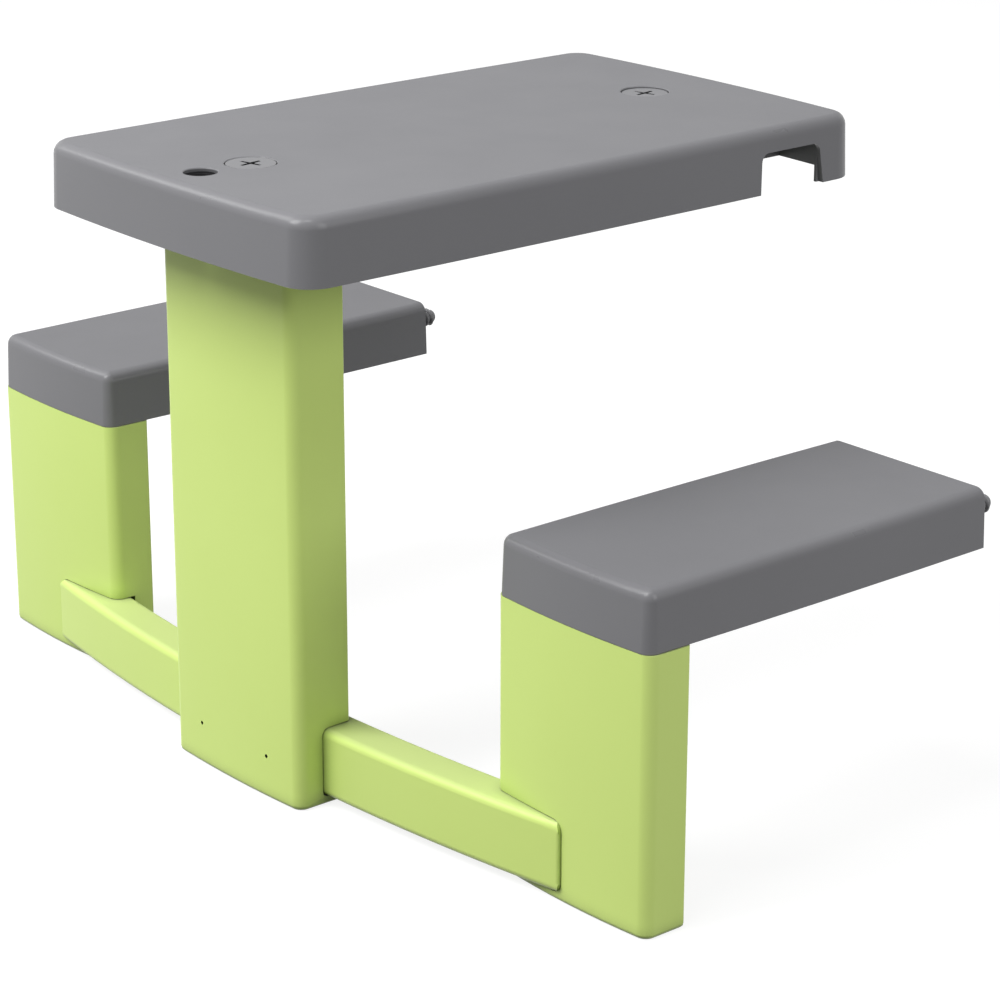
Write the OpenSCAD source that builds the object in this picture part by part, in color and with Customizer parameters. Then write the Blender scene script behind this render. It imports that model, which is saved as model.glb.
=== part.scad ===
// Child's moulded picnic table with two bench seats, made to hang on a playhouse wall.
// +X points at the house wall, +Y to the far bench and +Z up. The floor is z = 0.

/* [Table top] */
// Height of the table top above the floor
table_height = 460; // [430:1:490]
// Length of the table top over its bowed ends
top_length = 525.2; // [505:0.2:545]
// Width of the table top at its rim
top_width = 315.6; // [306:0.2:330]
// Height of the skirt round the table top
top_skirt = 47.8; // [45:0.2:54]
// How far each end of the table top bows out
top_end_bow = 5.8; // [3:0.1:8]
// How far each long side of the table top bows out
top_side_bow = 1.6; // [0.8:0.1:2.4]
// Radius of the table top's upright corners
top_corner_r = 20; // [16:0.5:26]
// Radius of the edge round the table top's surface
top_edge_r = 9; // [7:0.5:11]

/* [Mouldings] */
// Wall thickness of the table top and the bench seats
shell_wall = 3; // [2.6:0.1:3.4]
// Wall thickness of the legs and the crossbar
leg_wall = 3; // [2.6:0.1:3.4]
// Thickness of the ribs and webs
rib_wall = 2.4; // [2:0.1:3]
// Draft of every skirt in degrees
draft_angle = 2; // [1:0.1:2.5]
// Gap between two pieces that rest on each other
seat_gap = 0.3; // [0.2:0.05:0.4]
// Radial clearance of a shank in its hole
shank_clearance = 0.08; // [0.04:0.01:0.1]

/* [Wall notch] */
// Distance from the end of the table top back to the face of the house wall
wall_inset = 104; // [99:0.1:108]
// Play between the house wall and the notch
notch_play = 1.8; // [1.2:0.1:2.4]
// Width of the notch at its ceiling
notch_width = 60.3; // [57:0.1:62]
// Height of the notch above the rim
notch_height = 30.3; // [27:0.1:31]
// How far the outer jamb leans out from ceiling to rim
notch_lean = 3.1; // [2:0.1:5]
// Radius of the notch's upper corners
notch_corner_r = 7; // [5:0.5:9]

/* [Parasol hole] */
// Distance of the parasol hole from the end of the table top
parasol_inset = 34.4; // [33.8:0.1:36]
// Radius of the parasol sleeve's bore
parasol_r = 11; // [10:0.25:11.25]
// Radius of the hole's mouth above its ledge
parasol_mouth_r = 12; // [11.6:0.1:12.4]
// Depth of the mouth down to its ledge
parasol_mouth_depth = 4; // [3:0.25:6]
// Length of the parasol sleeve
parasol_sleeve = 35; // [28:0.5:38]

/* [Large screws] */
// Distance of the sill screw from the notch's inner corner
sill_screw_inset = 27.5; // [26:0.1:29]
// Distance of the leg screw from the end of the table top
leg_screw_inset = 76.9; // [75:0.1:79]
// Radius of the head
head_r = 18; // [17.5:0.1:19]
// Thickness of the head
head_thick = 5; // [4:0.1:5.5]
// Gap round the head in its well
head_gap = 0.5; // [0.4:0.05:0.8]
// How far the sill screw's head lies below the surface
sill_head_sink = 1.3; // [1:0.1:1.8]
// How far the leg screw's head lies below the surface
leg_head_sink = 0.3; // [0.2:0.1:0.6]
// Radius of the shank over its thread
shank_r = 7.5; // [7:0.1:8]
// Length of each shank below the head
shank_length = 36; // [33:0.5:38]
// Span of the cross recess
cross_span = 18.5; // [16:0.5:21]
// Turn of the cross recess in degrees
cross_turn = 10; // [0:1:45]
// Width of the cross recess
cross_width = 3.4; // [2.6:0.1:4]
// Depth of the cross recess
cross_depth = 2.6; // [2:0.1:3.2]
// Bevel round the head
head_bevel = 0.4; // [0.2:0.05:0.6]
// Bevel round the tip of every thread
tip_bevel = 1.4; // [0.8:0.1:2]
// Width and depth of the groove before a thread
groove = 1; // [0.8:0.05:1.4]

/* [Bench seats] */
// Height of the seats above the floor
seat_height = 245.9; // [235:0.5:255]
// Width of each seat at its rim
seat_width = 153.4; // [148:0.2:158]
// Distance of each seat's middle from the middle of the table
seat_centre = 309; // [304:0.5:318]
// Distance of the seats' bowed ends from the other end of the table top
seat_inset = 99.8; // [97:0.1:101]
// Height of the skirt round each seat
seat_skirt = 43.2; // [41:0.2:46]
// Radius of the edge round each seat's surface
seat_edge_r = 8; // [6:0.5:9]
// Radius of the seats' upright corners
seat_corner_r = 8; // [6:0.5:12]
// How far the end of each seat bows out
seat_end_bow = 3.7; // [2:0.1:5]
// How far each long side of a seat bows out
seat_side_bow = 1.4; // [0.8:0.1:2]
// Depth of the ribs under the seats
seat_rib_depth = 16.5; // [14:0.5:18]

/* [Wall screws] */
// Height of the wall screws above the seats' rim
wall_screw_rise = 25.8; // [24.5:0.1:27]
// Distance of the wall screws from the long edges of the seat
wall_screw_edge = 18; // [17.6:0.1:19]
// How far the wall screws stand out of the seat's end
wall_screw_reach = 19.4; // [17:0.1:24]
// Radius of the flange inside the seat
flange_r = 12; // [11:0.1:12.2]
// Thickness of the flange
flange_thick = 3; // [2.5:0.1:3.5]
// Width across the corners of the hexagon head
hex_width = 19; // [17:0.5:20]
// Thickness of the hexagon head
hex_thick = 7; // [6:0.5:9]

/* [Legs] */
// Distance of the central leg's face from the end of the table top
central_leg_inset = 48.5; // [48.3:0.1:49]
// Depth of the central leg from front to back
central_leg_depth = 49.1; // [47:0.1:51]
// How far the central leg's face bows out
central_leg_bow = 2.6; // [1.5:0.1:3.5]
// Depth of the bench legs from front to back
bench_leg_depth = 39.2; // [38:0.1:42]
// Radius of the legs' front corners
leg_corner_r = 8.5; // [7:0.1:10]
// Radius of the legs' back corners
leg_back_r = 2; // [1.5:0.1:2.5]
// Radius of the edge round the foot
foot_r = 4; // [3:0.1:4.5]
// Height of the part of the central leg that goes into the table top
central_spigot = 37.2; // [34:0.1:39]
// Wall of the socket under the table top
socket_wall = 2.6; // [2.2:0.1:3]
// Step between the leg's face and the socket's face
socket_step = 0.4; // [0.3:0.05:0.6]
// Distance of the small screws in the leg from the middle
pilot_y = 40; // [36:0.5:44]
// Radius of the pilot holes in the leg's face
pilot_r = 1.5; // [1.2:0.1:1.8]

/* [Crossbar] */
// Distance of the crossbar's face behind the central leg's face
bar_set_back = 23; // [22:0.1:24]
// Depth of the crossbar from front to back
bar_depth = 34; // [32:0.1:34.5]
// Height of the crossbar's underside above the floor
bar_bottom = 7; // [6.6:0.1:8]
// Height of the crossbar
bar_height = 52.5; // [50:0.5:55]
// Radius of the crossbar's curve in plan, at its face
bar_curve_r = 1830; // [1790:5:1880]
// How far each end of the crossbar stops short of the seat's middle
bar_end_short = 4; // [1:0.5:6]
// Radius of the crossbar's long edges
bar_edge_r = 6; // [4:0.1:6.5]
// Radius of the corners at the crossbar's ends
bar_end_r = 8; // [6:0.1:9]
// Gap between the crossbar and the legs
bar_gap = 0.5; // [0.4:0.1:0.8]
// Thickness of the central leg's sole below the crossbar
notch_sole = 3.7; // [3.4:0.1:4.2]
// How far that sole stops short of the leg's back
sole_set_back = 5; // [3:0.5:8]
// How far the notch's roof rises to the back
notch_roof_rise = 1.8; // [1:0.1:2.4]

/* [Small screws] */
// Radius of the shank
small_shank_r = 2.5; // [2:0.1:2.8]
// Radius of the head
small_head_r = 5; // [4.4:0.1:5.4]
// Thickness of the head
small_head_thick = 3; // [2.4:0.1:3.4]
// Radius of the boss round a small screw
small_boss_r = 6.5; // [6:0.1:7]
// Depth of the well behind the crossbar
bar_well_depth = 9; // [7:0.5:11]
// Length of the crossbar screws
bar_screw_length = 40; // [38:0.5:41]
// Length of the screws into the crossbar's ends
bar_end_screw_length = 18; // [16:0.5:20]
// Distance of the end screws from the end of the crossbar
bar_end_screw_inset = 40; // [36:0.5:44]
// Length of the seat screws
seat_screw_length = 15; // [13:0.5:16]
// Distance of the seat screws from the middle of the seat
seat_screw_y = 45; // [42:0.5:47]

/* [Hidden] */
$fn = 48;

// Steps round an upright corner, along an end and along a side of a lofted outline
corner_steps = 6;
end_steps = 8;
side_steps = 4;
// Steps round an outer and an inner edge
edge_steps = 5;
inner_edge_steps = 2;
foot_steps = 3;
// A full turn of the crossbar's curve is cut into this many steps
curve_steps = 720;
// One overrun for every cut
cut_over = 1;
// The tightest corner of an inset outline, as a share of the full corner
least_corner_share = 0.2;

table_grey = "#8b8b8e";
leg_green = "#cfe58c";
screw_grey = "#808083";
steel = "#b8babc";

rim_z = table_height - top_skirt;
top_end_x = top_length / 2;
house_wall_x = top_end_x - wall_inset;
seat_end_x = seat_inset - top_end_x;
seat_length = house_wall_x - seat_end_x;
top_ceiling_z = table_height - shell_wall;
rib_floor_z = rim_z + notch_height;
parasol_x = parasol_inset - top_end_x;
leg_screw_x = leg_screw_inset - top_end_x;

// The notch's four corners before rounding
notch_left = house_wall_x - notch_play;
notch_left_top = notch_left + inset_at(notch_height);
notch_right_top = notch_left_top + notch_width;
notch_right = notch_right_top + notch_lean;
sill_screw_x = notch_left_top + sill_screw_inset;
// Where the cut through each long skirt starts, just inside the skirt
notch_skirt_y = top_width / 2 - top_side_bow - shell_wall - inset_at(notch_height);
jamb_pad_x = notch_right_top + seat_gap;
jamb_pad_length = notch_width / 2;

seat_rim_z = seat_height - seat_skirt;
seat_rib_z = seat_height - shell_wall - seat_rib_depth;
wall_screw_z = seat_rim_z + wall_screw_rise;
wall_screw_y = seat_width / 2 - wall_screw_edge;

central_face_x = central_leg_inset - top_end_x;
central_back_x = central_face_x + central_leg_depth;
central_top_z = rib_floor_z - seat_gap;
central_shoulder_z = central_top_z - central_spigot;
central_spigot_in = socket_step + socket_wall + seat_gap;
bench_leg_back_x = seat_end_x + bench_leg_depth;
bench_leg_top_z = seat_rib_z - seat_gap;
bench_shoulder_z = seat_rim_z - seat_gap;
bench_spigot_in = shell_wall + seat_side_bow + inset_at(bench_leg_top_z - seat_rim_z) + seat_gap;

bar_front = -central_face_x - bar_set_back;
bar_half = seat_centre - bar_end_short;
bar_top = bar_bottom + bar_height;
bar_mid_z = bar_bottom + bar_height / 2;
bar_axis_x = bar_curve_r - bar_front;
bar_back_r = bar_curve_r - bar_depth;
bar_end_screw_y = bar_half - bar_end_screw_inset;
// The crossbar's back at the screws, and the tip of each crossbar screw
bar_back_pilot_x = bar_axis_x - sqrt(bar_back_r * bar_back_r - pilot_y * pilot_y);
bar_back_end_x = bar_axis_x - sqrt(bar_back_r * bar_back_r - bar_end_screw_y * bar_end_screw_y);
bar_screw_seat_x = bar_back_pilot_x - bar_well_depth;
bar_end_seat_x = bar_back_end_x + bar_gap + leg_wall;
seat_screw_x = (seat_end_x + bench_leg_back_x) / 2;
// Plain length of the large screws between the head and the groove before the thread
plain_length = table_height - sill_head_sink - head_thick - rib_floor_z + seat_gap;

// Positions of the ribs, as shares of the half length or width that they run across
top_long_shares = [0, 0.46, 0.73];
stub_rib_y = top_long_shares[1] * top_width / 2;
top_cross_shares = [-0.42, -0.14, 0.14, 0.42];
seat_long_shares = [-0.34, 0.34];
seat_cross_shares = [0.26, 0.5, 0.76];
leg_web_shares = [0.32, 0.5, 0.68, 0.86];
bench_web_shares = [0.5, 0.76];

// How far a drafted wall leans in over a height
function inset_at(height) = height * tan(draft_angle);

// Points round one corner, and points between two corners
function corner(cx, cy, r, start) = [
    for (i = [0 : corner_steps])
        [cx + r * cos(start + 90 * i / corner_steps), cy + r * sin(start + 90 * i / corner_steps)]
];
function between(p, q, steps) = [for (i = [1 : steps - 1]) p + (q - p) * i / steps];

// A rectangle with four round corners
function box_outline(x0, x1, y0, y1, r) = concat(
    corner(x1 - r, y1 - r, r, 0),
    corner(x0 + r, y1 - r, r, 90),
    corner(x0 + r, y0 + r, r, 180),
    corner(x1 - r, y0 + r, r, 270)
);

// The same with points along its sides, from x0 to x1 and half wide to each side
function stepped_outline(x0, x1, half, r0, r1) = let (
    a = corner(x1 - r1, half - r1, r1, 0),
    b = corner(x0 + r0, half - r0, r0, 90),
    c = corner(x0 + r0, r0 - half, r0, 180),
    d = corner(x1 - r1, r1 - half, r1, 270)
) concat(
    a, between(a[corner_steps], b[0], side_steps),
    b, between(b[corner_steps], c[0], end_steps),
    c, between(c[corner_steps], d[0], side_steps),
    d, between(d[corner_steps], a[0], end_steps)
);

// One level of a loft: the outline drawn in by d, with its ends and sides bowed out.
// A plan is [x0, x1, half width, corner at x0, corner at x1, bow at x0, bow at x1, side bow].
function level(plan, d, z) = let (
    x0 = plan[0] + d,
    x1 = plan[1] - d,
    half = plan[2] - d,
    r0 = max(plan[3] - d, plan[3] * least_corner_share),
    r1 = max(plan[4] - d, plan[4] * least_corner_share)
) [
    for (p = stepped_outline(x0, x1, half, r0, r1))
        let (u = (2 * p[0] - x0 - x1) / (x1 - x0), v = p[1] / half)
            [
                p[0] + u * (u < 0 ? plan[5] : plan[6]) * (1 - v * v),
                p[1] + v * plan[7] * (1 - u * u),
                z
            ]
];

// The middle of a level
function middle(ring) = [for (axis = [0 : 2]) ([for (p = ring) p[axis]] * [for (p = ring) 1]) / len(ring)];

// A solid through levels that all have as many points
module loft(levels) {
    n = len(levels[0]);
    last = len(levels) - 1;
    count = n * len(levels);
    polyhedron(
        points = concat([for (ring = levels) each ring], [middle(levels[0]), middle(levels[last])]),
        faces = concat(
            [for (j = [0 : n - 1]) [j, (j + 1) % n, count]],
            [
                for (i = [0 : last - 1], j = [0 : n - 1])
                    let (a = i * n + j, b = i * n + (j + 1) % n)
                        each [[a, a + n, b + n], [a, b + n, b]]
            ],
            [for (j = [0 : n - 1]) [last * n + (j + 1) % n, last * n + j, count + 1]]
        )
    );
}

// Levels of a skirted lid: drafted from its rim, with a round edge at the top
function lid_levels(plan, rim, top, edge) = concat(
    [level(plan, 0, rim)],
    [
        for (i = [0 : edge_steps])
            let (a = 90 * i / edge_steps, d = inset_at(top - edge - rim))
                level(plan, d + edge * (1 - cos(a)), top - edge * (1 - sin(a)))
    ]
);

// Levels of the hollow inside such a lid, open at the rim
function hollow_levels(plan, rim, top, edge) = concat(
    [level(plan, shell_wall, rim - cut_over), level(plan, shell_wall, rim)],
    [
        for (i = [0 : inner_edge_steps])
            let (
                a = 90 * i / inner_edge_steps,
                r = edge - shell_wall,
                d = shell_wall + inset_at(top - edge - rim)
            )
                level(plan, d + r * (1 - cos(a)), top - shell_wall - r * (1 - sin(a)))
    ]
);

// A post that stands on a round-edged foot and carries a spigot above its shoulder
function post_levels(plan, shoulder, top, spigot_in) = concat(
    [
        for (i = [0 : foot_steps])
            let (a = 90 * i / foot_steps)
                level(plan, foot_r * (1 - sin(a)), foot_r * (1 - cos(a)))
    ],
    [level(plan, 0, shoulder), level(plan, spigot_in, shoulder), level(plan, spigot_in, top)]
);

// The hollow of a post, which opens to the back
function post_hollow(plan, shoulder, top, spigot_in) = let (
    open_plan = [
        plan[0], plan[1] + leg_wall + spigot_in + cut_over, plan[2], plan[3], plan[4], plan[5], 0, 0
    ]
) [
    level(open_plan, leg_wall, leg_wall),
    level(open_plan, leg_wall, shoulder - leg_wall - spigot_in),
    level(open_plan, leg_wall + spigot_in, shoulder - leg_wall),
    level(open_plan, leg_wall + spigot_in, top - leg_wall)
];

// Drawn along +X from a point
module along_x(x, y, z) {
    translate([x, y, z])
        rotate([0, 90, 0])
            children();
}

// A plan section, given as [radius, height] points, swept along the crossbar's curve
module swept_on_curve(section, half_y) {
    a = asin(half_y / bar_back_r);
    translate([bar_axis_x, 0, 0])
        rotate([0, 0, 180 - a])
            rotate_extrude(angle = 2 * a, $fn = curve_steps)
                polygon(section);
}

// The space that the crossbar takes, grown by a gap and open to the front
module bar_space(gap, reach) {
    intersection() {
        swept_on_curve([
            [bar_back_r - gap, bar_bottom - gap],
            [bar_curve_r + reach, bar_bottom - gap],
            [bar_curve_r + reach, bar_top + gap],
            [bar_back_r - gap, bar_top + gap]
        ], bar_half + bar_depth);
        translate([-top_length, -bar_half - gap, 0])
            cube([top_length, 2 * (bar_half + gap), table_height]);
    }
}

table_plan = [
    top_end_bow - top_end_x, top_end_x - top_end_bow, top_width / 2 - top_side_bow,
    top_corner_r, top_corner_r, top_end_bow, top_end_bow, top_side_bow
];
central_plan = [
    central_face_x + central_leg_bow, central_back_x, seat_width / 2,
    leg_corner_r, leg_back_r, central_leg_bow, 0, 0
];
seat_plan = [
    seat_end_x + seat_end_bow, house_wall_x + 2 * seat_edge_r, seat_width / 2 - seat_side_bow,
    seat_corner_r, seat_corner_r, seat_end_bow, 0, seat_side_bow
];
bench_leg_plan = [
    seat_end_x + seat_end_bow, bench_leg_back_x, seat_width / 2,
    leg_corner_r, leg_back_r, seat_end_bow, 0, 0
];

// The ring under the table top that takes the central leg's spigot
module leg_socket() {
    height = top_ceiling_z + cut_over - central_shoulder_z - seat_gap;
    translate([0, 0, central_shoulder_z + seat_gap])
        difference() {
            linear_extrude(height)
                polygon([for (p = level(central_plan, socket_step, 0)) [p[0], p[1]]]);
            translate([0, 0, -cut_over])
                linear_extrude(height + 2 * cut_over)
                    polygon([for (p = level(central_plan, socket_step + socket_wall, 0)) [p[0], p[1]]]);
        }
}

// The cup and tube that hold a large screw, hung from the ceiling
module screw_well(x, sink) {
    cup_floor = table_height - sink - head_thick - seat_gap - shell_wall;
    translate([x, 0, cup_floor])
        cylinder(h = table_height - cup_floor - shell_wall / 2, r = head_r + head_gap + rib_wall);
    translate([x, 0, rib_floor_z])
        cylinder(h = table_height - shell_wall - rib_floor_z, r = shank_r + shell_wall);
}

// What is cut for a large screw's head and shank
module screw_bore(x, sink) {
    seat = table_height - sink - head_thick - seat_gap;
    translate([x, 0, seat])
        cylinder(h = table_height + cut_over - seat, r = head_r + head_gap);
    translate([x, 0, rim_z])
        cylinder(h = top_skirt, r = shank_r + shank_clearance);
}

// Everything that stays inside the table top's hollow
module top_ribs() {
    span = top_length + top_width;
    up = top_skirt;
    // Shallow long and cross ribs
    for (share = top_long_shares, side = [-1, 1])
        translate([-span / 2, side * share * top_width / 2 - rib_wall / 2, rib_floor_z])
            cube([span, rib_wall, up]);
    for (share = top_cross_shares)
        translate([share * top_end_x - rib_wall / 2, -span / 2, rib_floor_z])
            cube([rib_wall, span, up]);
    // The deep wall beside the notch with its bearing pad, and the two deep ribs beyond the notch
    translate([notch_left - shell_wall - seat_gap, -span / 2, rim_z])
        cube([shell_wall, span, up]);
    translate([notch_left - shell_wall, shell_wall - notch_skirt_y, rim_z])
        cube([shell_wall, 2 * (notch_skirt_y - shell_wall), notch_height]);
    for (side = [-1, 1])
        translate([jamb_pad_x, side * stub_rib_y - rib_wall / 2, rim_z])
            cube([span, rib_wall, up]);
    // The pads that double each long skirt beyond the notch
    for (side = [-1, 1])
        translate([jamb_pad_x, side * (notch_skirt_y + span / 2 - rib_wall) - span / 2, rim_z])
            cube([jamb_pad_length, span, up]);
    leg_socket();
    translate([parasol_x, 0, table_height - parasol_sleeve])
        cylinder(h = parasol_sleeve - shell_wall / 2, r = parasol_r + shell_wall);
    screw_well(leg_screw_x, leg_head_sink);
    screw_well(sill_screw_x, sill_head_sink);
}

// The notch through one long skirt
module skirt_notch(side) {
    reach = top_side_bow + shell_wall + top_skirt;
    translate([0, side * (notch_skirt_y + reach / 2) + reach / 2, 0])
        rotate([90, 0, 0])
            linear_extrude(reach)
                polygon(concat(
                    [[notch_left, rim_z - cut_over], [notch_right, rim_z - cut_over], [notch_right, rim_z]],
                    corner(notch_right_top - notch_corner_r, rib_floor_z - notch_corner_r, notch_corner_r, 0),
                    corner(notch_left_top + notch_corner_r, rib_floor_z - notch_corner_r, notch_corner_r, 90),
                    [[notch_left, rim_z]]
                ));
}

module table_top() {
    color(table_grey)
        difference() {
            loft(lid_levels(table_plan, rim_z, table_height, top_edge_r));
            difference() {
                loft(hollow_levels(table_plan, rim_z, table_height, top_edge_r));
                top_ribs();
            }
            skirt_notch(-1);
            skirt_notch(1);
            screw_bore(leg_screw_x, leg_head_sink);
            screw_bore(sill_screw_x, sill_head_sink);
            translate([parasol_x, 0, rim_z])
                cylinder(h = top_skirt + cut_over, r = parasol_r);
            translate([parasol_x, 0, table_height - parasol_mouth_depth])
                cylinder(h = parasol_mouth_depth + cut_over, r = parasol_mouth_r);
        }
}

// The notch at the back of the central leg's foot, which takes the crossbar
module foot_notch() {
    deep = bar_curve_r - central_leg_depth - bar_depth;
    face = bar_curve_r + bar_gap;
    r = bar_edge_r;
    swept_on_curve(concat(
        [[deep, bar_top + bar_gap + notch_roof_rise], [deep, notch_sole], [face - r, notch_sole]],
        corner(face - r, notch_sole + r, r, 270),
        corner(face - r, bar_top + bar_gap - r, r, 0)
    ), seat_width);
}

// What stays inside the central leg's hollow
module central_webs() {
    span = central_shoulder_z - bar_top;
    for (share = leg_web_shares)
        translate([-top_length, -top_width, share * central_shoulder_z])
            cube([top_length, 2 * top_width, rib_wall]);
    translate([-top_length, -rib_wall / 2, bar_top])
        cube([top_length, rib_wall, span]);
    // Roof and face of the foot notch
    translate([-top_length, -top_width, bar_top + bar_gap])
        cube([top_length, 2 * top_width, notch_roof_rise + leg_wall]);
    swept_on_curve([
        [bar_curve_r, 0], [bar_curve_r + bar_gap + leg_wall, 0],
        [bar_curve_r + bar_gap + leg_wall, bar_top + leg_wall], [bar_curve_r, bar_top + leg_wall]
    ], seat_width);
    for (side = [-1, 1])
        along_x(central_face_x, side * pilot_y, bar_mid_z)
            cylinder(h = central_leg_depth / 2, r = small_boss_r);
    translate([leg_screw_x, 0, central_top_z - shank_length])
        cylinder(h = shank_length, r = shank_r + leg_wall);
}

module table_leg() {
    color(leg_green)
        difference() {
            loft(post_levels(central_plan, central_shoulder_z, central_top_z, central_spigot_in));
            difference() {
                loft(post_hollow(central_plan, central_shoulder_z, central_top_z, central_spigot_in));
                central_webs();
            }
            foot_notch();
            translate([central_back_x - sole_set_back, -seat_width, -cut_over])
                cube([central_leg_depth, 2 * seat_width, bar_mid_z]);
            translate([leg_screw_x, 0, central_top_z - shank_length + leg_wall])
                cylinder(h = shank_length, r = shank_r + shank_clearance);
            for (side = [-1, 1]) {
                along_x(central_face_x - cut_over, side * pilot_y, bar_mid_z)
                    cylinder(h = central_leg_depth, r = pilot_r);
                along_x(central_face_x + 2 * leg_wall, side * pilot_y, bar_mid_z)
                    cylinder(h = central_leg_depth, r = small_shank_r + shank_clearance);
            }
        }
}

// What stays inside a seat's hollow
module seat_ribs() {
    span = seat_length;
    for (share = seat_long_shares)
        translate([seat_end_x, share * seat_width / 2 - rib_wall / 2, seat_rib_z])
            cube([span, rib_wall, seat_skirt]);
    for (share = seat_cross_shares)
        translate([seat_end_x + share * seat_length - rib_wall / 2, -seat_width, seat_rib_z])
            cube([rib_wall, 2 * seat_width, seat_skirt]);
    for (side = [-1, 1])
        translate([seat_screw_x, side * seat_screw_y, seat_rib_z])
            cylinder(h = seat_rib_depth, r = small_boss_r);
}

// One bench seat about its own middle line
module bench_seat() {
    color(table_grey)
        difference() {
            intersection() {
                loft(lid_levels(seat_plan, seat_rim_z, seat_height, seat_edge_r));
                translate([-top_length, -seat_width, 0])
                    cube([top_length + house_wall_x, 2 * seat_width, table_height]);
            }
            difference() {
                intersection() {
                    loft(hollow_levels(seat_plan, seat_rim_z, seat_height, seat_edge_r));
                    translate([-top_length, -seat_width, 0])
                        cube([top_length + house_wall_x - shell_wall, 2 * seat_width, table_height]);
                }
                seat_ribs();
            }
            for (side = [-1, 1]) {
                along_x(0, side * wall_screw_y, wall_screw_z)
                    cylinder(h = top_length, r = shank_r + shank_clearance);
                translate([seat_screw_x, side * seat_screw_y, seat_rib_z - cut_over])
                    cylinder(h = seat_rib_depth + cut_over, r = small_shank_r + shank_clearance);
            }
        }
}

module near_bench_seat() {
    translate([0, -seat_centre, 0])
        bench_seat();
}

module far_bench_seat() {
    translate([0, seat_centre, 0])
        bench_seat();
}

// What stays inside a bench leg's hollow, with the walls of the crossbar's pocket
module bench_webs() {
    for (share = bench_web_shares)
        translate([-top_length, -seat_width, share * bench_shoulder_z])
            cube([top_length, 2 * seat_width, rib_wall]);
    translate([-top_length, -rib_wall / 2, bar_top])
        cube([top_length, rib_wall, bench_shoulder_z - bar_top]);
    translate([0, seat_centre, 0])
        bar_space(bar_gap + leg_wall, bar_depth);
}

// The near bench leg, moved to the middle of its own bench
module bench_leg() {
    color(leg_green)
        difference() {
            loft(post_levels(bench_leg_plan, bench_shoulder_z, bench_leg_top_z, bench_spigot_in));
            difference() {
                loft(post_hollow(bench_leg_plan, bench_shoulder_z, bench_leg_top_z, bench_spigot_in));
                bench_webs();
            }
            translate([0, seat_centre, 0])
                bar_space(bar_gap, bar_depth);
            along_x(seat_end_x, seat_centre - bar_end_screw_y, bar_mid_z)
                cylinder(h = bench_leg_depth, r = small_shank_r + shank_clearance);
            along_x(bar_end_seat_x, seat_centre - bar_end_screw_y, bar_mid_z)
                cylinder(h = bench_leg_depth, r = small_head_r + head_gap);
            for (side = [-1, 1])
                translate([seat_screw_x, side * seat_screw_y, bench_shoulder_z])
                    cylinder(h = seat_skirt, r = small_shank_r + shank_clearance);
        }
}

module near_bench_leg() {
    translate([0, -seat_centre, 0])
        bench_leg();
}

module far_bench_leg() {
    mirror([0, 1, 0])
        translate([0, -seat_centre, 0])
            bench_leg();
}

// The crossbar's outline seen from its face, a little taller than the bar
module bar_end_outline() {
    r = bar_end_r + cut_over;
    low = bar_bottom - cut_over;
    high = bar_top + cut_over;
    translate([r - bar_half, low])
        square([2 * (bar_half - r), high - low]);
    translate([-bar_half, low + r])
        square([2 * bar_half, high - low - 2 * r]);
    for (y = [r - bar_half, bar_half - r], z = [low + r, high - r])
        translate([y, z])
            circle(r);
}

// The bosses inside the crossbar
module bar_bosses() {
    for (side = [-1, 1]) {
        along_x(-bar_front, side * pilot_y, bar_mid_z)
            cylinder(h = bar_depth + bar_edge_r, r = small_boss_r + leg_wall);
        along_x(bar_back_end_x - bar_depth, side * bar_end_screw_y, bar_mid_z)
            cylinder(h = bar_depth + bar_edge_r, r = small_boss_r);
    }
}

module crossbar() {
    bare_half = bar_half - leg_wall;
    color(leg_green)
        difference() {
            intersection() {
                swept_on_curve(
                    box_outline(bar_back_r, bar_curve_r, bar_bottom, bar_top, bar_edge_r),
                    bar_half + bar_depth
                );
                translate([-top_length, 0, 0])
                    rotate([90, 0, 90])
                        linear_extrude(top_length)
                            bar_end_outline();
            }
            difference() {
                intersection() {
                    swept_on_curve(box_outline(
                        bar_back_r + leg_wall, bar_curve_r - leg_wall,
                        bar_bottom + leg_wall, bar_top - leg_wall, bar_edge_r - leg_wall / 2
                    ), bar_half + bar_depth);
                    translate([-top_length, -bare_half, 0])
                        cube([top_length, 2 * bare_half, table_height]);
                }
                bar_bosses();
            }
            for (side = [-1, 1]) {
                along_x(-bar_front - cut_over, side * pilot_y, bar_mid_z)
                    cylinder(h = 2 * bar_depth, r = small_shank_r + shank_clearance);
                along_x(bar_screw_seat_x, side * pilot_y, bar_mid_z)
                    cylinder(h = bar_depth, r = small_head_r + head_gap);
                along_x(bar_end_seat_x - bar_end_screw_length, side * bar_end_screw_y, bar_mid_z)
                    cylinder(h = bar_depth, r = small_shank_r + shank_clearance);
            }
        }
}

// A large screw with its head's top at z = 0
module large_screw() {
    start = -head_thick - plain_length;
    tip = -head_thick - shank_length;
    color(screw_grey)
        difference() {
            rotate_extrude()
                polygon([
                    [0, 0], [head_r - head_bevel, 0], [head_r, -head_bevel], [head_r, -head_thick],
                    [shank_r, -head_thick], [shank_r, start], [shank_r - groove, start],
                    [shank_r - groove, start - groove], [shank_r, start - groove],
                    [shank_r, tip + tip_bevel], [shank_r - tip_bevel, tip], [0, tip]
                ]);
            for (turn = [0, 90])
                rotate([0, 0, turn + cross_turn])
                    translate([-cross_span / 2, -cross_width / 2, -cross_depth])
                        cube([cross_span, cross_width, cross_depth + cut_over]);
        }
}

module leg_screw() {
    translate([leg_screw_x, 0, table_height - leg_head_sink])
        large_screw();
}

module sill_screw() {
    translate([sill_screw_x, 0, table_height - sill_head_sink])
        large_screw();
}

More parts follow.
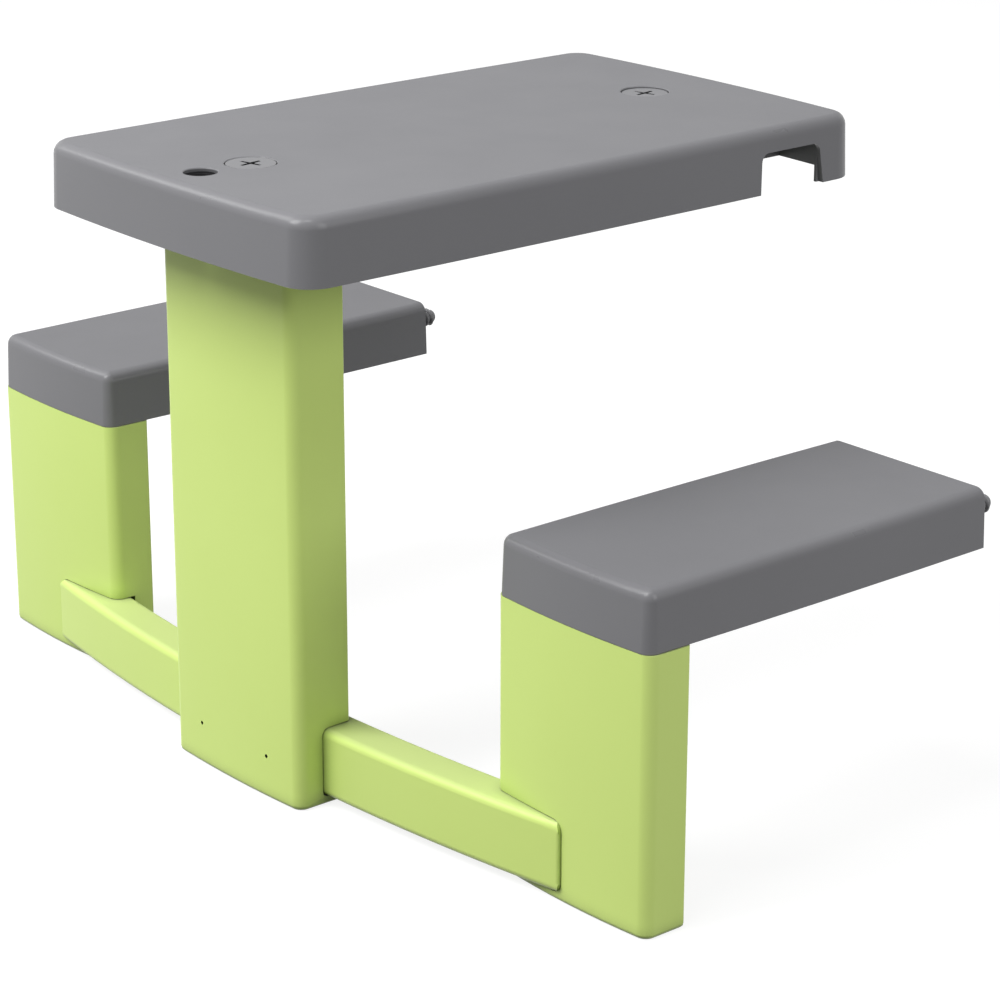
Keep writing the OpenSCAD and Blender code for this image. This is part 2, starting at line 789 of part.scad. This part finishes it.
// A wall screw, which lies along +X: its flange bears on the inside of the seat's end wall
module wall_screw(y) {
    inner = house_wall_x - shell_wall - seat_gap;
    start = shell_wall + 2 * seat_gap;
    reach = shell_wall + seat_gap + wall_screw_reach;
    color(screw_grey)
        along_x(inner, y, wall_screw_z) {
            rotate_extrude()
                polygon([
                    [0, -flange_thick], [flange_r, -flange_thick], [flange_r, 0], [shank_r, 0],
                    [shank_r, start], [shank_r - groove, start], [shank_r - groove, start + groove],
                    [shank_r, start + groove], [shank_r, reach - tip_bevel],
                    [shank_r - tip_bevel, reach], [0, reach]
                ]);
            translate([0, 0, -flange_thick - hex_thick])
                cylinder(h = hex_thick, r = hex_width / 2, $fn = 6);
        }
}

module near_outer_wall_screw() {
    wall_screw(-seat_centre - wall_screw_y);
}

module near_inner_wall_screw() {
    wall_screw(wall_screw_y - seat_centre);
}

module far_inner_wall_screw() {
    wall_screw(seat_centre - wall_screw_y);
}

module far_outer_wall_screw() {
    wall_screw(seat_centre + wall_screw_y);
}

// A small screw with the underside of its head at z = 0, pointing up
module small_screw(length) {
    color(steel)
        rotate_extrude()
            polygon([
                [0, -small_head_thick], [small_head_r / 2, -small_head_thick],
                [small_head_r, -small_head_thick / 2], [small_head_r, 0],
                [small_shank_r, 0], [small_shank_r, length - small_shank_r], [small_shank_r / 4, length],
                [0, length]
            ]);
}

module crossbar_screws() {
    for (side = [-1, 1])
        translate([bar_screw_seat_x + seat_gap, side * pilot_y, bar_mid_z])
            rotate([0, -90, 0])
                small_screw(bar_screw_length);
}

module bar_end_screws() {
    for (side = [-1, 1])
        translate([bar_end_seat_x + seat_gap, side * bar_end_screw_y, bar_mid_z])
            rotate([0, -90, 0])
                small_screw(bar_end_screw_length);
}

module seat_screws() {
    for (bench = [-1, 1], side = [-1, 1])
        translate([
            seat_screw_x, bench * seat_centre + side * seat_screw_y,
            bench_leg_top_z - leg_wall - seat_gap
        ])
            small_screw(seat_screw_length);
}

table_top();
table_leg();
near_bench_seat();
far_bench_seat();
near_bench_leg();
far_bench_leg();
crossbar();
leg_screw();
sill_screw();
near_outer_wall_screw();
near_inner_wall_screw();
far_inner_wall_screw();
far_outer_wall_screw();
crossbar_screws();
bar_end_screws();
seat_screws();
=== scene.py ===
"""A child's moulded picnic table that fastens to a playhouse wall.

Every visible piece is made from a copy of its CAD solid. Its lengths are in mm, as in the CAD, and are turned
into metres where Blender takes them. The camera, the lamps, the floor and the bump depths are in metres.
"""
import math

import bpy
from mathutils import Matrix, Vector


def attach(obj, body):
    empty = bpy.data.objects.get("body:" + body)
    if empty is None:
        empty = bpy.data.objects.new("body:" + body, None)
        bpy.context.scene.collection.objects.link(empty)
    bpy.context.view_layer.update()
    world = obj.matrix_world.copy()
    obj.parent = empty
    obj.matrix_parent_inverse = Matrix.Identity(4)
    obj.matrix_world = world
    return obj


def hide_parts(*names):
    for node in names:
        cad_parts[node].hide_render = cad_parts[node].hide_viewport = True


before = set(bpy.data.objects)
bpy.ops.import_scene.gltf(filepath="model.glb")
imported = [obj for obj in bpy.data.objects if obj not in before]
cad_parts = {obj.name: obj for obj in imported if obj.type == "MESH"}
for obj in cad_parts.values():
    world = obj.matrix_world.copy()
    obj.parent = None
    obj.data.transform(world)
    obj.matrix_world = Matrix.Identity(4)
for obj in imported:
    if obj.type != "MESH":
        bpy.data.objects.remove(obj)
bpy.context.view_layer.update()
MM = 0.001

# Camera, at the photograph's viewing angle
camera_data = bpy.data.cameras.new("photo_camera")
camera_data.lens = 115.79
camera_data.sensor_width = 36
camera = bpy.data.objects.new("photo_camera", camera_data)
camera.location = (-1.46385, -1.77673, 0.97256)
camera.rotation_euler = [math.radians(turn) for turn in (70.7992, -0.1113, -40.2317)]
bpy.context.scene.collection.objects.link(camera)
bpy.context.scene.camera = camera


# Materials

def linear(hex_colour):
    """An sRGB hex colour as linear red, green, blue and alpha."""
    parts = [int(hex_colour[i:i + 2], 16) / 255 for i in (1, 3, 5)]
    return [c / 12.92 if c <= 0.04045 else ((c + 0.055) / 1.055) ** 2.4 for c in parts] + [1.0]


def new_material(name):
    """A material with an empty node tree."""
    material = bpy.data.materials.new(name)
    material.use_nodes = True
    material.node_tree.nodes.clear()
    return material


def add(material, kind, settings=None, **sockets):
    """One node, its sockets set or linked by name, or by number after an underscore."""
    tree = material.node_tree
    node = tree.nodes.new(kind)
    for name, value in (settings or {}).items():
        setattr(node, name, value)
    for name, value in sockets.items():
        socket = node.inputs[int(name[1:])] if name[0] == "_" else node.inputs[name.replace("_", " ")]
        if isinstance(value, bpy.types.NodeSocket):
            tree.links.new(value, socket)
        else:
            socket.default_value = value
    return node


def calculate(material, operation, *values):
    """The result of one sum on values or sockets."""
    numbered = {f"_{number}": value for number, value in enumerate(values)}
    return add(material, "ShaderNodeMath", {"operation": operation}, **numbered).outputs[0]


def remap(material, value, from_low, from_high, to_low, to_high):
    """The part of a value between two levels, spread between two others and held beyond them."""
    return add(
        material, "ShaderNodeMapRange", _0=value, _1=from_low, _2=from_high, _3=to_low, _4=to_high,
    ).outputs[0]


def blend(material, share, first, second):
    """Two colours mixed, with that share of the second."""
    return add(
        material, "ShaderNodeMix", {"data_type": "RGBA"}, _0=share, _6=first, _7=second,
    ).outputs[2]


def noise(material, place, size_mm, detail, roughness):
    """The level of a noise whose lumps are about size_mm across."""
    return add(
        material, "ShaderNodeTexNoise",
        Vector=place, Scale=1 / (size_mm * MM), Detail=detail, Roughness=roughness,
    ).outputs["Fac"]


def seen_directly(material):
    """One where a ray looks straight, by reflection or through glass at a surface, zero for bounced light."""
    rays = add(material, "ShaderNodeLightPath").outputs
    mirrored = calculate(material, "MAXIMUM", rays["Is Camera Ray"], rays["Is Glossy Ray"])
    return calculate(material, "MAXIMUM", mirrored, rays["Is Transmission Ray"])


def moulded_polypropylene(
    name, light_hex, dark_hex, shade_hex, rough_low, rough_high,
    reach_mm=6, reach_end=0.5, top_shade_share=0.0, polish=0.07,
):
    """Injection-moulded polypropylene.

    The mould is spark-eroded, so the skin has a fine even grain that breaks up the highlight and dulls the
    sheen. The colour is in the plastic and drifts very slightly where it flowed, and handling leaves faint
    smoother and duller patches.
    """
    material = new_material(name)
    place = add(material, "ShaderNodeTexCoord").outputs["Object"]
    facing_up = add(
        material, "ShaderNodeSeparateXYZ", Vector=add(material, "ShaderNodeNewGeometry").outputs["Normal"],
    ).outputs["Z"]

    # Flow drift of the pigment, 160 mm across, and fine specks in it
    drift = remap(material, noise(material, place, 160, 3.0, 0.5), 0.3, 0.7, 0.0, 0.8)
    pigment = calculate(material, "MULTIPLY_ADD", noise(material, place, 2.2, 4.0, 0.65), 0.3, drift)
    colour = blend(material, pigment, linear(dark_hex), linear(light_hex))

    # Painted shade: the colour is darkened toward a dark tone in deep holes, recesses and inner corners,
    # where an ambient occlusion test finds little open space
    open_space = add(material, "ShaderNodeAmbientOcclusion", {"samples": 6}, Distance=reach_mm * MM)
    shade_share = remap(material, open_space.outputs["AO"], 0.12, reach_end, 0.9, 0.0)
    colour = blend(material, shade_share, colour, linear(shade_hex))

    # Painted shade on the tops: what faces up is mixed toward a dull grey, toning down the faces where the
    # lamps fall strongest
    top_shade = remap(material, facing_up, 0.6, 0.98, 0.0, top_shade_share)
    colour = blend(material, top_shade, colour, linear("#a6a598"))

    # Patches worn by hands, 45 mm across, and hairline scuffs drawn out across the grain
    worn = remap(material, noise(material, place, 45, 4.0, 0.5), 0.35, 0.65, rough_low, rough_high)
    drawn_out = add(material, "ShaderNodeMapping", Vector=place, Rotation=(0, 0, 0.5), Scale=(1, 14, 6))
    scuffs = noise(material, drawn_out.outputs[0], 28, 6.0, 0.7)
    scuffed = remap(material, scuffs, 0.62, 0.72, 0.0, 0.05)
    handled = calculate(material, "ADD", worn, scuffed)

    # The flat tops keep the full grain, and hands polish it down on the rounded edges
    edges = remap(material, facing_up, 0.08, 0.35, 0.0, -polish)
    flats = remap(material, facing_up, 0.75, 0.995, 0.0, 0.22 + polish)
    roughness = calculate(material, "ADD", handled, calculate(material, "ADD", edges, flats))

    # Slight sink of the skin over the ribs behind it, and on top of that the spark-eroded grain. The grain is
    # 0.9 mm here, since the real one of about 0.1 mm would not show
    waves = noise(material, place, 70, 1.0, 0.4)
    grain = noise(material, place, 0.9, 2.0, 0.6)
    sink = add(material, "ShaderNodeBump", Strength=0.15, Distance=0.0002, Height=waves)
    skin = add(
        material, "ShaderNodeBump", Strength=0.22, Distance=0.00006, Height=grain, Normal=sink.outputs[0],
    )
    shader = add(
        material, "ShaderNodeBsdfPrincipled", Base_Color=colour, Roughness=roughness, IOR=1.49,
        Specular_IOR_Level=0.3, Normal=skin.outputs[0],
    )
    add(material, "ShaderNodeOutputMaterial", Surface=shader.outputs[0])
    return material


def zinc_plated_steel(name):
    """Zinc-plated steel, cold formed: a cool grey metal with a faintly mottled, softly shining plate."""
    material = new_material(name)
    place = add(material, "ShaderNodeTexCoord").outputs["Object"]
    mottle = noise(material, place, 1.5, 4.0, 0.6)
    shader = add(
        material, "ShaderNodeBsdfPrincipled", Metallic=1.0,
        Base_Color=blend(material, mottle, linear("#9da1a4"), linear("#c9ccce")),
        Roughness=remap(material, mottle, 0.3, 0.7, 0.28, 0.42),
        Normal=add(material, "ShaderNodeBump", Strength=0.2, Distance=0.00005, Height=mottle).outputs[0],
    )
    add(material, "ShaderNodeOutputMaterial", Surface=shader.outputs[0])
    return material


# The third colour of each plastic is the dark tone of its painted shade in holes and inner corners
GREY = moulded_polypropylene("polypropylene_grey", "#79797c", "#757578", "#161617", 0.34, 0.37)
# GREEN also gets a painted shade on its upward faces
GREEN = moulded_polypropylene(
    "polypropylene_green", "#d8ef89", "#d5ec85", "#5d7038", 0.36, 0.39,
    reach_mm=16, reach_end=0.85, top_shade_share=0.28, polish=0.0,
)
SCREW_GREY = moulded_polypropylene("polypropylene_screw", "#828285", "#7c7c7e", "#161617", 0.32, 0.36)
# Darker copies of the plastics, which paint the shade inside a hole or a recess
HOLE_SHADE_GREY = moulded_polypropylene("polypropylene_grey_hole_shade", "#2a2a2c", "#222224", "#0c0c0d", 0.5, 0.6)
MOUTH_SHADE_GREY = moulded_polypropylene("polypropylene_grey_mouth_shade", "#626265", "#5c5c5e", "#3a3a3c", 0.45, 0.5)
HOLE_SHADE_GREEN = moulded_polypropylene("polypropylene_green_hole_shade", "#4a5a2c", "#3c4a22", "#1c2410", 0.5, 0.6)
STEEL = zinc_plated_steel("zinc_plated_steel")


# Work on the pieces

MERGE = 0.005
FLAT_ANGLE, SHARP_ANGLE = 0.05, 38


def metres(*lengths):
    """Lengths in mm as metres."""
    return [length * MM for length in lengths]


def near(value, target, reach):
    """Whether a value is within reach of a target."""
    return abs(value - target) < reach


def deselect_all():
    """Leave no object selected."""
    bpy.ops.object.select_all(action="DESELECT")


def only(thing):
    """Select one object alone and make it the active one."""
    deselect_all()
    thing.select_set(True)
    bpy.context.view_layer.objects.active = thing


def start_editing():
    """Go into edit mode on the active object."""
    bpy.ops.object.mode_set(mode="EDIT")


def stop_editing():
    """Go back to object mode."""
    bpy.ops.object.mode_set(mode="OBJECT")


def taken_from(node):
    """A copy of a CAD node's mesh, merged, with its flat faces made whole."""
    piece = bpy.data.objects.new("copy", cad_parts[node].data.copy())
    bpy.context.scene.collection.objects.link(piece)
    only(piece)
    start_editing()
    bpy.ops.mesh.select_all(action="SELECT")
    bpy.ops.mesh.remove_doubles(threshold=MERGE * MM)
    bpy.ops.mesh.dissolve_limited(angle_limit=math.radians(FLAT_ANGLE))
    stop_editing()
    return piece


def pick(piece, test):
    """Select just the points of a piece, in edit mode, that a test on their place picks out."""
    only(piece)
    start_editing()
    bpy.ops.mesh.select_mode(type="VERT")
    bpy.ops.mesh.select_all(action="DESELECT")
    stop_editing()
    for point in piece.data.vertices:
        point.select = test(*(c / MM for c in point.co))
    start_editing()


def rounded(piece, radius, steps, test):
    """Round the edges between the points that a test picks out."""
    pick(piece, test)
    bpy.ops.mesh.bevel(offset=radius * MM, segments=steps, clamp_overlap=True)
    stop_editing()
    return piece


def eased(piece, radius):
    """Break a piece's sharp edges by a small radius and shade the rest smooth."""
    only(piece)
    bpy.ops.object.shade_smooth()
    bevel = piece.modifiers.new("edges", "BEVEL")
    bevel.width = radius * MM
    bevel.segments = 2
    bevel.limit_method = "ANGLE"
    bevel.angle_limit = math.radians(SHARP_ANGLE)
    bevel.use_clamp_overlap = True
    bevel.harden_normals = False
    bpy.ops.object.modifier_apply(modifier=bevel.name)
    weighted = piece.modifiers.new("flats", "WEIGHTED_NORMAL")
    weighted.mode = "FACE_AREA"
    weighted.weight = 60
    weighted.keep_sharp = False
    bpy.ops.object.modifier_apply(modifier=weighted.name)
    return piece


def finish(piece, node, body, material, ending="_moulding"):
    """Name a piece after its CAD node, give it its material and hang it on its body."""
    piece.name = node + ending
    piece.data.name = piece.name
    piece.data.materials.clear()
    piece.data.materials.append(material)
    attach(piece, body)
    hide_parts(node)
    return piece


def with_painted_shade(piece, material, test):
    """Give the faces of a finished piece that a test on their middle picks out another material, a darker
    copy that paints the shade in a hole or recess.
    """
    piece.data.materials.append(material)
    slot = len(piece.data.materials) - 1
    for face in piece.data.polygons:
        if test(*(c / MM for c in face.center)):
            face.material_index = slot
    return piece


def inside(axis_x, radius, low, high):
    """A test for what lies within a radius of an upright axis in the middle plane, between two heights."""
    return lambda x, y, z: math.hypot(x - axis_x, y) < radius and low < z < high


def on_wall(axis_x, radius, reach, low, high):
    """A test for what lies on a round wall about an upright axis in the middle plane, between two heights."""
    return lambda x, y, z: near(math.hypot(x - axis_x, y), radius, reach) and low < z < high


# Table top and bench seats

EASE = 0.5
TOP, RIM_ROUND = 460, 0.9
WALL_END = TOP - RIM_ROUND
PARASOL_X, MOUTH_R, MOUTH_LEDGE, MOUTH_SPLIT, SLEEVE_END = -228.2, 12, 456, 457.4, 424
LEG_SCREW_X, SILL_SCREW_X, WELL_R, LEG_WELL_FLOOR, SILL_WELL_FLOOR = -185.7, 185.358, 18.5, 454, 453

# The rims of the parasol hole and the two screw wells are rounded off more than the other edges
table_top = taken_from("table_top")
for axis_x, radius in ((PARASOL_X, MOUTH_R), (LEG_SCREW_X, WELL_R), (SILL_SCREW_X, WELL_R)):
    rounded(table_top, RIM_ROUND, 3, on_wall(axis_x, radius, 0.1, TOP - 0.2, TOP + 0.2))
# The wall of the parasol hole's mouth is split in two, so that its lower part can take a deeper painted shade
pick(table_top, inside(PARASOL_X, MOUTH_R + 0.1, MOUTH_LEDGE - 0.1, WALL_END + 0.2))
bpy.ops.mesh.bisect(plane_co=metres(0, 0, MOUTH_SPLIT), plane_no=(0, 0, 1))
stop_editing()
finish(eased(table_top, EASE), "table_top", "table", GREY)
# Painted shade on the walls of the parasol hole and of the two screw wells
with_painted_shade(table_top, MOUTH_SHADE_GREY, inside(PARASOL_X, MOUTH_R + 0.1, MOUTH_SPLIT, WALL_END))
with_painted_shade(table_top, HOLE_SHADE_GREY, inside(PARASOL_X, MOUTH_R + 0.1, SLEEVE_END, MOUTH_SPLIT))
with_painted_shade(table_top, HOLE_SHADE_GREY, on_wall(LEG_SCREW_X, WELL_R, 0.2, LEG_WELL_FLOOR, WALL_END + 0.1))
with_painted_shade(table_top, MOUTH_SHADE_GREY, on_wall(SILL_SCREW_X, WELL_R, 0.2, SILL_WELL_FLOOR, WALL_END + 0.1))
for node in ("near_bench_seat", "far_bench_seat"):
    finish(eased(taken_from(node), EASE), node, "table", GREY)


# Legs and crossbar

LEG_FACE_X, PILOT_Y, PILOT_REACH = -212.6, 40, 2.8
NOTCH_X, NOTCH_Y, NOTCH_FLOOR, NOTCH_TOP, NOTCH_SHARE = -190.2, 73.6, 3.05, 9.8, 0.57
BAR_HALF, BAR_LOW, BAR_HIGH, BAR_ROUND = 305, 7, 59.5, 8
BAR_MIDDLE = (BAR_LOW + BAR_HIGH) / 2
BAR_END_X, BAR_END_ROUND = -165.4, 2.2
POCKET_GAP, POCKET_ROUND = 0.5, 8.4

# The floor of the leg's notch comes up close under the crossbar
table_leg = taken_from("table_leg")
for point in table_leg.data.vertices:
    x, y, z = (c / MM for c in point.co)
    if x > NOTCH_X and abs(y) > NOTCH_Y and NOTCH_FLOOR < z < NOTCH_TOP:
        point.co.z = (NOTCH_TOP - (NOTCH_TOP - z) * NOTCH_SHARE) * MM
finish(eased(table_leg, EASE), "table_leg", "table", GREEN)
# Painted shade in the leg's pilot holes
with_painted_shade(
    table_leg, HOLE_SHADE_GREEN,
    lambda x, y, z: math.hypot(abs(y) - PILOT_Y, z - BAR_MIDDLE) < PILOT_REACH and x > LEG_FACE_X,
)

# The corners of each bench leg's pocket, beyond the crossbar's end, are rounded
for node, side in (("near_bench_leg", -1), ("far_bench_leg", 1)):
    leg = taken_from(node)
    for height in (BAR_LOW - POCKET_GAP, BAR_HIGH + POCKET_GAP):
        rounded(
            leg, POCKET_ROUND, 6,
            lambda x, y, z: near(side * y, BAR_HALF + POCKET_GAP, 0.2) and near(z, height, 0.2),
        )
    finish(eased(leg, EASE), node, "table", GREEN)

# The crossbar's upright front edges, at its ends, are rounded too
crossbar = taken_from("crossbar")
rounded(
    crossbar, BAR_END_ROUND, 4,
    lambda x, y, z: (
        near(abs(y), BAR_HALF, 0.1) and x < BAR_END_X
        and BAR_LOW + BAR_ROUND - 0.1 < z < BAR_HIGH - BAR_ROUND + 0.1
    ),
)
finish(eased(crossbar, EASE), "crossbar", "table", GREEN)


# Screws. The CAD's shanks are plain, as thick as the threads' crests

SHANK_EASE, STEEL_EASE = 0.3, 0.2
CREST, ROOT, PITCH, STEPS_A_TURN = 7.5, 5.6, 4.8, 32
FOOT = ROOT - 0.5
FLANK, SHOULDER = ROOT + 0.35, CREST - 0.5
RIDGE_SECTION = (
    (FOOT, -1.7), (FLANK, -1.35), (SHOULDER, -0.85), (CREST, -0.3),
    (CREST, 0.3), (SHOULDER, 0.85), (FLANK, 1.35), (FOOT, 1.7),
)
RUN_OUT = (0.05, 0.3, 0.6, 0.85)
HEAD_R, HEAD_THREAD_START, HEAD_THREAD = 18, 17.7, 20.8
LEG_SCREW_TOP, SILL_SCREW_TOP = 459.7, 458.7
CROSS_TURN, CROSS_SPAN, CROSS_DEPTH, CROSS_TAPER, CROSS_END_R = 10, 18.5, 2.6, 0.75, 2.2
STUD_X, STUD_Z, STUD_THREAD_START, STUD_THREAD = 155.3, 228.5, 4.6, 16.4


def thread_ridge(length):
    """One moulded thread ridge about Z, from zero up, wound from its section and run out at both ends."""
    corners = len(RIDGE_SECTION)
    deselect_all()
    bpy.ops.mesh.primitive_circle_add(vertices=corners, radius=MM)
    ridge = bpy.context.object
    for point, (radius, height) in zip(ridge.data.vertices, RIDGE_SECTION):
        point.co = metres(radius, 0, height)
    winding = ridge.modifiers.new("winding", "SCREW")
    winding.angle = math.tau * length / PITCH
    winding.screw_offset = length * MM
    winding.steps = winding.render_steps = round(STEPS_A_TURN * length / PITCH)
    bpy.ops.object.modifier_apply(modifier=winding.name)
    start_editing()
    bpy.ops.mesh.select_all(action="SELECT")
    bpy.ops.mesh.fill_holes(sides=0)
    bpy.ops.mesh.select_all(action="SELECT")
    bpy.ops.mesh.normals_make_consistent(inside=False)
    stop_editing()
    # The first and last sections sink into the root
    sections = len(ridge.data.vertices) // corners
    for back, share in enumerate(RUN_OUT):
        for section in (back, sections - 1 - back):
            start_editing()
            bpy.ops.mesh.select_all(action="DESELECT")
            stop_editing()
            centre = Vector((0, 0, 0))
            for point in ridge.data.vertices[section * corners:(section + 1) * corners]:
                point.select = True
                centre += point.co / corners
            outward = Vector((centre.x, centre.y, 0)).normalized()
            foot = outward * FOOT * MM + Vector((0, 0, centre.z))
            start_editing()
            bpy.ops.transform.resize(value=(share, share, share), center_override=foot)
            stop_editing()
    bpy.ops.object.shade_smooth()
    return ridge


def threaded(piece, head, downwards, start, length):
    """Draw a plain shank in to the root of its thread and join the ridge to it.

    The shank's axis starts at head and runs down -Z, or else along +X. The thread starts that far along it.
    """
    x, y, z = head
    slim = (ROOT - 0.2) / CREST

    def on_shank(px, py, pz):
        along = z - pz if downwards else px - x
        off = math.hypot(px - x, py - y) if downwards else math.hypot(py - y, pz - z)
        return along > start - 0.1 and off < CREST + 0.1

    pick(piece, on_shank)
    bpy.ops.transform.resize(
        value=(slim, slim, 1) if downwards else (1, slim, slim), center_override=metres(*head),
    )
    stop_editing()
    eased(piece, SHANK_EASE)
    ridge = thread_ridge(length)
    ridge.rotation_euler = (math.pi, 0, 0) if downwards else (0, math.pi / 2, 0)
    ridge.location = metres(x, y, z - start) if downwards else metres(x + start, y, z)
    only(ridge)
    bpy.ops.object.transform_apply(location=True, rotation=True, scale=True)
    only(piece)
    ridge.select_set(True)
    bpy.ops.object.join()
    return piece


def tapered_cross(piece, axis_x, top):
    """Narrow the ends of a screw's cross recess, as the driver's blades have them."""
    for turn in range(4):
        angle = math.radians(CROSS_TURN + 90 * turn)
        end_x = axis_x + CROSS_SPAN / 2 * math.cos(angle)
        end_y = CROSS_SPAN / 2 * math.sin(angle)
        for level in (top, top - CROSS_DEPTH):
            pick(
                piece,
                lambda x, y, z: math.hypot(x - end_x, y - end_y) < CROSS_END_R and near(z, level, 0.3),
            )
            bpy.ops.transform.resize(
                value=(CROSS_TAPER, CROSS_TAPER, 1), center_override=metres(end_x, end_y, level),
            )
            stop_editing()
    return piece


for node, axis_x, top in (
    ("leg_screw", LEG_SCREW_X, LEG_SCREW_TOP), ("sill_screw", SILL_SCREW_X, SILL_SCREW_TOP),
):
    screw = tapered_cross(taken_from(node), axis_x, top)
    threaded(screw, (axis_x, 0, top), True, HEAD_THREAD_START, HEAD_THREAD)
    finish(screw, node, node, SCREW_GREY)
    # Painted shade in the cross recess and down the side of the head
    with_painted_shade(screw, HOLE_SHADE_GREY, inside(axis_x, CROSS_SPAN / 2 + 0.35, top - 3, top - 0.4))
    with_painted_shade(screw, HOLE_SHADE_GREY, on_wall(axis_x, HEAD_R, 0.2, 0, top - 0.5))
for node, y in (
    ("near_outer_wall_screw", -367.7), ("near_inner_wall_screw", -250.3),
    ("far_inner_wall_screw", 250.3), ("far_outer_wall_screw", 367.7),
):
    screw = threaded(taken_from(node), (STUD_X, y, STUD_Z), False, STUD_THREAD_START, STUD_THREAD)
    finish(screw, node, node, SCREW_GREY)
for node in ("crossbar_screws", "bar_end_screws", "seat_screws"):
    finish(eased(taken_from(node), STEEL_EASE), node, "table", STEEL, "_turned")


# Setting

def studio_floor_paint(name):
    """Matt painted studio floor.

    It throws a moderate grey back at the object and is seen as white paper that keeps a faint shadow. It is
    clear from below, so the underside can be looked at.
    """
    material = new_material(name)
    paint = add(material, "ShaderNodeBsdfDiffuse", Color=linear("#7a7a7a")).outputs[0]
    shadowed = add(material, "ShaderNodeBsdfDiffuse", Color=linear("#8c8c8c")).outputs[0]
    white = add(material, "ShaderNodeEmission", Color=(1, 1, 1, 1), Strength=0.86).outputs[0]
    paper = add(material, "ShaderNodeAddShader", _0=shadowed, _1=white).outputs[0]
    above = add(material, "ShaderNodeMixShader", _0=seen_directly(material), _1=paint, _2=paper).outputs[0]
    below = add(material, "ShaderNodeBsdfTransparent").outputs[0]
    back = add(material, "ShaderNodeNewGeometry").outputs["Backfacing"]
    shader = add(material, "ShaderNodeMixShader", _0=back, _1=above, _2=below)
    add(material, "ShaderNodeOutputMaterial", Surface=shader.outputs[0])
    return material


FLOOR_SIZE, FLOOR_Z = 60, -0.0002
deselect_all()
bpy.ops.mesh.primitive_plane_add(size=FLOOR_SIZE, location=(0, 0, FLOOR_Z))
floor = bpy.context.object
floor.name = "studio_floor"
floor.data.materials.append(studio_floor_paint("white_studio_floor"))

# The world is white where it is seen and gives a low even light
WORLD_LIGHT = 0.21
world = bpy.data.worlds.new("studio")
bpy.context.scene.world = world
world.use_nodes = True
world.node_tree.nodes.clear()
sky = add(
    world, "ShaderNodeBackground",
    Color=(1, 1, 1, 1), Strength=remap(world, seen_directly(world), 0, 1, WORLD_LIGHT, 1),
)
add(world, "ShaderNodeOutputWorld", Surface=sky.outputs[0])

# Soft boxes: name, place, width and watts. All look at the same point in the table's middle
LAMP_TARGET = (0, 0, 0.2)
for name, place, size, power in (
    ("key_soft_box", (-2.30, 0.80, 2.90), 2.0, 124),
    ("overhead_lamp", (-1.04, -0.64, 3.59), 0.7, 20),
    ("back_soft_box", (-1.49, 3.24, 2.95), 1.6, 34),
    ("right_panel", (0.90, -4.30, 2.40), 3.0, 88),
):
    lamp = bpy.data.lights.new(name, "AREA")
    lamp.shape = "SQUARE"
    lamp.size = size
    lamp.energy = power
    holder = bpy.data.objects.new(name, lamp)
    holder.location = place
    holder.rotation_euler = (Vector(LAMP_TARGET) - Vector(place)).to_track_quat("-Z", "Y").to_euler()
    bpy.context.scene.collection.objects.link(holder)

bpy.context.scene.view_settings.view_transform = "Standard"
